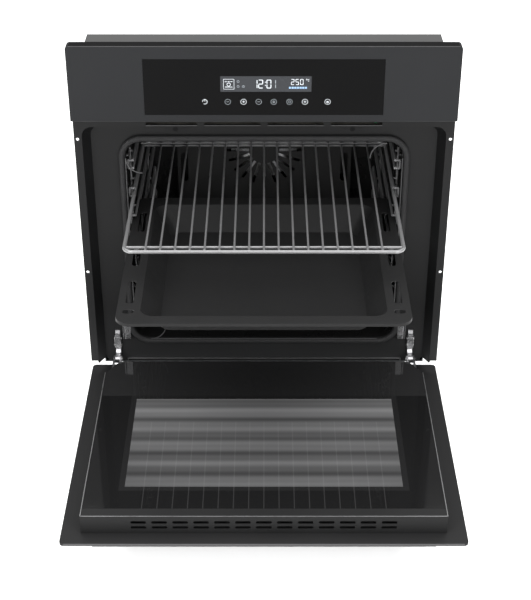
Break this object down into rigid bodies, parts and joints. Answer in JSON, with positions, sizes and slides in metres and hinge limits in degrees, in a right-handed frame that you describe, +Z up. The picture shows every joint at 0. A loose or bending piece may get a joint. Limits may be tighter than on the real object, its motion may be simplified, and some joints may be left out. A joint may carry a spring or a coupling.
{
  "type": "wall oven",
  "caption": "Built-in electric wall oven with a drop-down glass door, touch control fascia, wire shelf, baking tray and rear convection fan, shown open",
  "frame": {"origin": "on the base plate's underside, below the middle of the casing's depth and width", "axes": "+Z up, +Y from the door back into the cabinet, +X to the right seen from the front"},
  "size_m": [0.595, 0.975, 0.654],
  "materials": {
    "dark_paint": "satin",
    "fascia_paint": "satin",
    "zinc_sheet": "galvanised",
    "steel_bright": "bright zinc plated",
    "enamel": "gloss enamel",
    "tray_enamel": "semi-gloss enamel",
    "chrome_wire": "polished",
    "black_glass": "gloss",
    "clear_glass": "clear",
    "profile_paint": "satin",
    "gasket_fibre": "braided",
    "wool": "loose fibre",
    "board": "satin",
    "plastic_black": "satin",
    "plastic_white": "satin",
    "element": "oxidised",
    "aluminium_plain": "satin",
    "handle_paint": "satin"
  },
  "bodies": {
    "cabinet": {"front_frame": "dark_paint", "right_side_panel": "zinc_sheet", "left_side_panel": "zinc_sheet", "base_plate": "zinc_sheet", "top_cover": "zinc_sheet", "rear_cover": "zinc_sheet", "control_box_cover": "zinc_sheet", "control_fascia": "fascia_paint", "control_glass": "black_glass", "display_module": "plastic_black", "touch_key_board": "board", "power_board": "board", "cavity_liner": "enamel", "cavity_gasket": "gasket_fibre", "mouth_brackets": "steel_bright", "right_side_rack": "chrome_wire", "left_side_rack": "chrome_wire", "rack_studs": "steel_bright", "grill_heater": "element", "bottom_heater": "element", "ring_heater": "element", "convection_fan_cover": "enamel", "convection_fan_motor": "zinc_sheet", "lamp_glass": "clear_glass", "lamp_holder": "plastic_white", "flue_pipe": "zinc_sheet", "temperature_probe": "steel_bright", "insulation_bottom": "wool", "insulation_top": "wool", "insulation_right": "wool", "insulation_left": "wool", "insulation_back": "wool", "cooling_fan_housing": "zinc_sheet", "cooling_fan_motor": "zinc_sheet", "right_hinge_cassette": "steel_bright", "left_hinge_cassette": "steel_bright", "right_hinge_arm": "steel_bright", "left_hinge_arm": "steel_bright", "hinge_pins": "steel_bright", "terminal_block": "plastic_black", "case_screws": "steel_bright"},
    "door": {"door_outer_glass": "black_glass", "door_middle_glass": "clear_glass", "door_inner_glass": "black_glass", "door_right_profile": "profile_paint", "door_left_profile": "profile_paint", "door_vent_bar": "profile_paint", "door_bottom_profile": "profile_paint", "glass_spacers": "plastic_black", "handle_bar": "handle_paint", "handle_posts": "handle_paint", "handle_screws": "steel_bright", "right_door_hinge_body": "steel_bright", "left_door_hinge_body": "steel_bright"},
    "wire_shelf": {"wire_shelf_rim": "chrome_wire", "wire_shelf_bars": "chrome_wire"},
    "tray": {"baking_tray": "tray_enamel"},
    "convection_impeller": {"convection_fan": "steel_bright", "convection_fan_shaft": "steel_bright"},
    "cooling_rotor": {"cooling_fan_rotor": "aluminium_plain"}
  },
  "joints": [
    {"name": "door_hinge", "type": "hinge", "parent": "cabinet", "child": "door", "pos_m": [0, -0.246, 0.019], "axis": [-1, 0, 0], "range_deg": [0, 90]},
    {"name": "shelf_slide", "type": "slide", "parent": "cabinet", "child": "wire_shelf", "axis": [0, 1, 0], "range_m": [0, 0.186]},
    {"name": "tray_slide", "type": "slide", "parent": "cabinet", "child": "tray", "axis": [0, 1, 0], "range_m": [0, 0.31]},
    {"name": "convection_spin", "type": "hinge", "parent": "cabinet", "child": "convection_impeller", "pos_m": [0, 0.1, 0.216], "axis": [0, 1, 0], "continuous": true},
    {"name": "cooling_spin", "type": "hinge", "parent": "cabinet", "child": "cooling_rotor", "pos_m": [0, -0.194, 0.492], "axis": [1, 0, 0], "continuous": true}
  ],
  "couplings": [
    {"joint": "shelf_slide", "follows": "door_hinge", "m_per_rad": 0.11841},
    {"joint": "tray_slide", "follows": "door_hinge", "m_per_rad": 0.19735}
  ]
}
